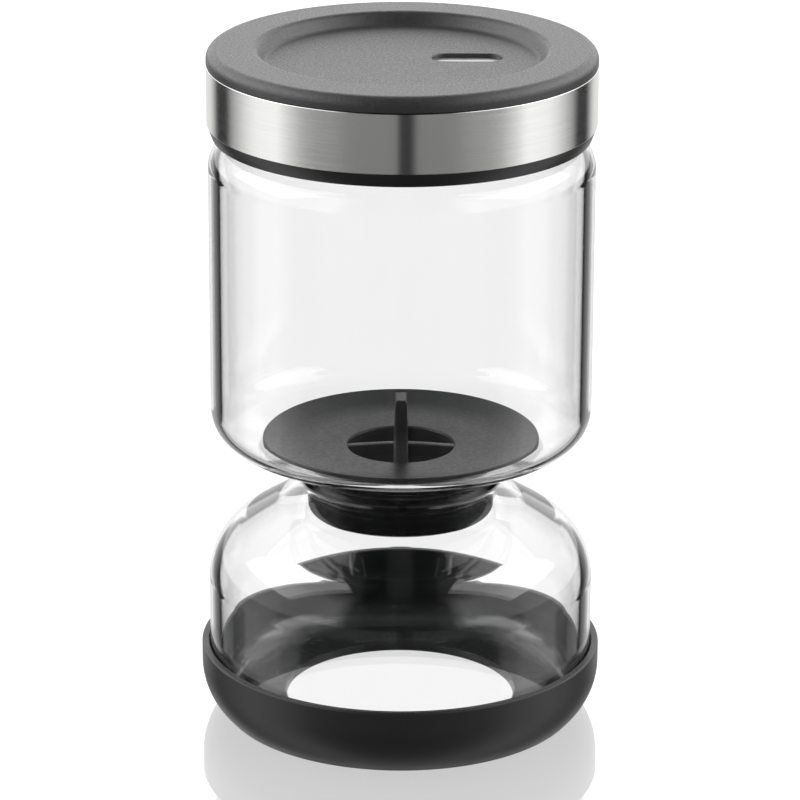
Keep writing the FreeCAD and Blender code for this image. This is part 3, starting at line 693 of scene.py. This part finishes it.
strainer_seal = turn_section("ribbed_neck_seal", [
    (TUBE_INNER, SEAL_LOW),
    (SLEEVE_RADIUS, SEAL_LOW, 2.6),
    (SLEEVE_RADIUS, 70.23),
    (RIB_RADIUS, 70.23, 0.1),
    (RIB_RADIUS, 72.13, 0.3),
    (SEAL_RADIUS, 72.13),
    (SEAL_RADIUS, 72.73),
    (RIB_RADIUS, 72.73, 0.3),
    (RIB_RADIUS, 74.63, 0.3),
    (SEAL_RADIUS, 74.63),
    (SEAL_RADIUS, SEAL_TOP),
    (SLEEVE_INNER, SEAL_TOP),
    (SLEEVE_INNER, TUBE_LOW),
    (TUBE_INNER, TUBE_LOW),
])
place(strainer_seal, "strainer", "strainer_seal", "black_silicone", seal_rubber)

# %% [markdown]
# ## Screw cap
# The threaded inner cap. Closed, only its lip shows, as the black ring below the steel.
# %% Screw cap
CAP_INNER = 52.05
CAP_RADIUS = 54.65
CAP_LOW = 173.8
CAP_LEDGE = 177.75
GASKET_TOP = 191.65
PLATE_TOP = 193.65
CAP_TOP = 194.75
CAP_THREAD_MID = 179.18
CAP_ROWS = 42
RING_INNER = 44.45
RING_OUTER = 46.15
RING_LOW = 188.85
LIP_RADIUS = 55.05

screw_cap = turn_section("threaded_inner_cap", [
    (0, GASKET_TOP),
    (RING_INNER, GASKET_TOP),
    (RING_INNER, RING_LOW, 0.4),
    (RING_OUTER, RING_LOW, 0.4),
    (RING_OUTER, GASKET_TOP),
    (CAP_INNER, GASKET_TOP),
    *ladder(CAP_INNER, GASKET_TOP - 0.4, CAP_LOW + 0.8, CAP_ROWS),
    (CAP_INNER, CAP_LOW, 0.4),
    (53.75, CAP_LOW, 0.6),
    (LIP_RADIUS, CAP_LEDGE - 0.4),
    (LIP_RADIUS, CAP_LEDGE),
    (CAP_RADIUS, CAP_LEDGE),
    (CAP_RADIUS, CAP_TOP),
    (52.65, CAP_TOP),
    (52.65, PLATE_TOP),
    (0, PLATE_TOP),
], closed=False)
raise_thread(screw_cap, CAP_INNER, CAP_THREAD_MID, -1)
place(screw_cap, "lid", "screw_cap", "black_cap", cap_plastic)

# %% [markdown]
# ## Lid gasket
# A flat silicone washer that the rim bites into. It is milky and soft, so a little light goes into it.
# %% Lid gasket
GASKET_INNER = 46.45
GASKET_RADIUS = 51.75

lid_gasket = turn_section("flat_lid_gasket", [
    (GASKET_INNER, RIM_TOP, 0.3),
    (GASKET_RADIUS, RIM_TOP, 0.3),
    (GASKET_RADIUS, GASKET_TOP, 0.3),
    (GASKET_INNER, GASKET_TOP, 0.3),
])
gasket_silicone, tree, output = new_material("milky_moulded_silicone")
spot = add_node(tree, "TexCoord").outputs["Object"]
cloud = add_node(tree, "TexNoise", {"Vector": spot, "Scale": 400.0, "Detail": 2.0})
tint = add_node(tree, "Mix", {"Factor": cloud.outputs["Fac"], "A": linear("#d2d2cd"), "B": linear("#e4e4df")},
                data_type="RGBA")
shader = add_node(tree, "BsdfPrincipled", {
    "Base Color": tint.outputs["Result"], "Roughness": 0.4, "IOR": 1.43, "Subsurface Weight": 0.4,
    "Subsurface Radius": (0.002, 0.002, 0.002), "Subsurface Scale": 1.0,
})
tree.links.new(shader.outputs[0], output.inputs["Surface"])
place(lid_gasket, "gasket", "lid_gasket", "pale_silicone", gasket_silicone)

# %% [markdown]
# ## Steel band
# Stainless strip, brushed along its length before it was rolled into a ring. Brushing spreads a highlight
# across the lines and leaves it sharp along them, so the panels at the sides stand as upright bright bars
# with fine level scratches. The gloss is stretched along Z; the scratches are a noise squeezed in Z.
# %% Steel band
BAND_INNER = 54.75
BAND_RADIUS = 55.35
SCRATCH_HEIGHT = 0.22
SCRATCH_LENGTH = 30.0

steel_band = turn_section("brushed_steel_band", [
    (BAND_INNER, CAP_LEDGE, 0.1),
    (BAND_RADIUS, CAP_LEDGE, 0.2),
    (BAND_RADIUS, CAP_TOP, 0.2),
    (BAND_INNER, CAP_TOP, 0.1),
], steps=320)
brushed_steel, tree, output = new_material("brushed_stainless_steel")
spot = add_node(tree, "TexCoord").outputs["Object"]
along = 1 / (SCRATCH_LENGTH * MM)
squeezed = add_node(tree, "Mapping", {"Vector": spot, "Scale": (along, along, 1 / (SCRATCH_HEIGHT * MM))})
scratch = add_node(tree, "TexNoise", {"Vector": squeezed.outputs[0], "Scale": 1.0, "Detail": 5.0,
                                      "Roughness": 0.65})
metal = add_node(tree, "Mix", {"Factor": scratch.outputs["Fac"], "A": linear("#d4d4d3"),
                               "B": linear("#e6e6e4")}, data_type="RGBA")
keen = add_node(tree, "MapRange", {"Value": scratch.outputs["Fac"], "From Min": 0.3, "From Max": 0.7,
                                   "To Min": 0.16, "To Max": 0.22})
bump = add_node(tree, "Bump", {"Height": scratch.outputs["Fac"], "Strength": 1.0, "Distance": 0.0006 * MM})
grain_way = add_node(tree, "Tangent", direction_type="RADIAL", axis="Z")
shader = add_node(tree, "BsdfPrincipled", {
    "Base Color": metal.outputs["Result"], "Metallic": 1.0, "Roughness": keen.outputs["Result"],
    "Anisotropic": 0.85, "Anisotropic Rotation": 0.25, "Tangent": grain_way.outputs[0],
    "Normal": bump.outputs["Normal"],
})
tree.links.new(shader.outputs[0], output.inputs["Surface"])
place(steel_band, "lid", "steel_band", "brushed_band", brushed_steel)

# %% [markdown]
# ## Lid cover
# The top moulding: a raised rim round a flat recess, and a slot through which a small plate shows.
# The slot's rim has a fine chamfer, cut with a second, flared tool.
# %% Lid cover
COVER_LOW = 194.9
COVER_TOP = 199.2
COVER_HOLLOW = COVER_TOP - 2.0
RECESS_FLOOR = 195.5
GROOVE_INNER = 50.55
GROOVE_RADIUS = 52.55

lid_cover = turn_section("grained_lid_cover", [
    (0, PLATE_TOP),
    (40.95, PLATE_TOP),
    (43.75, COVER_HOLLOW),
    (GROOVE_INNER, COVER_HOLLOW),
    (GROOVE_INNER, PLATE_TOP),
    (GROOVE_RADIUS, PLATE_TOP),
    (GROOVE_RADIUS, COVER_LOW),
    (BAND_RADIUS, COVER_LOW, 0.3),
    (BAND_RADIUS, COVER_TOP, 2.9),
    (41.35, COVER_TOP, 2.4),
    (38.55, RECESS_FLOOR, 1.8),
    (0, RECESS_FLOOR),
], closed=False, steps=320)

BADGE_SPOT = (18.3, 2.95)
WINDOW_LENGTH = 20.0
WINDOW_WIDTH = 8.3
POCKET_MARGIN = 3.9


def stadium(name, length, low_width, high_width, low, high):
    """A round-ended block (mm) over the badge's place: a cylinder or cone with its halves moved apart."""
    bpy.ops.object.select_all(action="DESELECT")
    middle = Vector((BADGE_SPOT[0], BADGE_SPOT[1], (low + high) / 2)) * MM
    bpy.ops.mesh.primitive_cone_add(vertices=96, radius1=low_width / 2 * MM, radius2=high_width / 2 * MM,
                                    depth=(high - low) * MM, location=middle)
    block = bpy.context.object
    block.name = name
    bpy.ops.object.transform_apply(location=True, rotation=True, scale=True)
    apart = (length - low_width) / 2 * MM
    for vertex in block.data.vertices:
        off = vertex.co.x - middle.x
        if abs(off) > MERGE_DISTANCE:
            vertex.co.x += math.copysign(apart, off)
    return block


window = stadium("window_tool", WINDOW_LENGTH, WINDOW_WIDTH, WINDOW_WIDTH, PLATE_TOP - 1, COVER_TOP)
combine(lid_cover, window, "DIFFERENCE")
chamfer = stadium("chamfer_tool", WINDOW_LENGTH, WINDOW_WIDTH - 0.01, WINDOW_WIDTH + 0.6,
                  RECESS_FLOOR - 0.28, RECESS_FLOOR + 0.02)
combine(lid_cover, chamfer, "DIFFERENCE")
pocket_width = WINDOW_WIDTH + POCKET_MARGIN
pocket = stadium("pocket_tool", WINDOW_LENGTH + POCKET_MARGIN, pocket_width, pocket_width,
                 PLATE_TOP - 0.5, PLATE_TOP + 0.65)
combine(lid_cover, pocket, "DIFFERENCE")
place(lid_cover, "lid", "lid_cover", "black_cover", cover_plastic)

# %% [markdown]
# ## Badge plate
# A bare polished strip, clamped between cap and cover. Its edge is bevelled as a stamped plate's is.
# %% Badge plate
BADGE_MARGIN = 3.8
BADGE_THICKNESS = 0.6

badge_width = WINDOW_WIDTH + BADGE_MARGIN
badge_plate = stadium("polished_badge_plate", WINDOW_LENGTH + BADGE_MARGIN, badge_width, badge_width,
                      PLATE_TOP, PLATE_TOP + BADGE_THICKNESS)
bpy.ops.object.mode_set(mode="EDIT")
select_edges(badge_plate, lambda a, b: min(a.z, b.z) > PLATE_TOP + 0.59)
bpy.ops.mesh.bevel(offset=0.15 * MM, segments=2, affect="EDGES")
finish_mesh()
polished_steel, tree, output = new_material("polished_stainless_plate")
spot = add_node(tree, "TexCoord").outputs["Object"]
rub = add_node(tree, "TexNoise", {"Vector": spot, "Scale": 900.0, "Detail": 3.0})
keen = add_node(tree, "MapRange", {"Value": rub.outputs["Fac"], "To Min": 0.36, "To Max": 0.46})
shader = add_node(tree, "BsdfPrincipled", {
    "Base Color": linear("#f0f0ee"), "Metallic": 1.0, "Roughness": keen.outputs["Result"],
})
tree.links.new(shader.outputs[0], output.inputs["Surface"])
place(badge_plate, "lid", "badge_plate", "polished_badge", polished_steel)

# %% [markdown]
# ## Bounces and view
# The keeper has to stay inside the imported model's box, so both boxes are written for comparison. Light
# crosses many glass skins here, so paths are allowed more bounces than usual before they go dark.
# %% Bounces and view transform
BOUNCES = 24

bpy.context.scene.cycles.max_bounces = BOUNCES
bpy.context.scene.cycles.transmission_bounces = BOUNCES
bpy.context.scene.cycles.transparent_max_bounces = BOUNCES
bpy.context.scene.view_settings.view_transform = "Standard"
